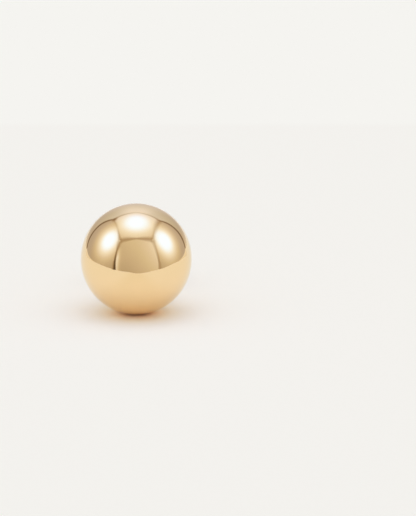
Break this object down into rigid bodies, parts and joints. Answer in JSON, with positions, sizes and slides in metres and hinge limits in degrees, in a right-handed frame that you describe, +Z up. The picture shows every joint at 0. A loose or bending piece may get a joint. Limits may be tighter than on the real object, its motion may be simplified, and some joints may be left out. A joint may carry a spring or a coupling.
{
  "type": "ball stud earring",
  "caption": "Polished gold ball stud earring with a straight post and a push back, lying on a surface as it rests by itself.",
  "frame": {"origin": "on the surface that the earring lies on, under the middle of its box", "axes": "+Y from the front of the ball towards the tip of the post, +Z up from the surface, +X across"},
  "size_m": [0.01, 0.0208, 0.01],
  "materials": {
    "polished_gold": "mirror-polished yellow gold",
    "sheet_gold": "bright tumbled yellow gold"
  },
  "bodies": {
    "root": {"ball_and_post": "polished_gold", "push_back": "sheet_gold"}
  },
  "joints": []
}
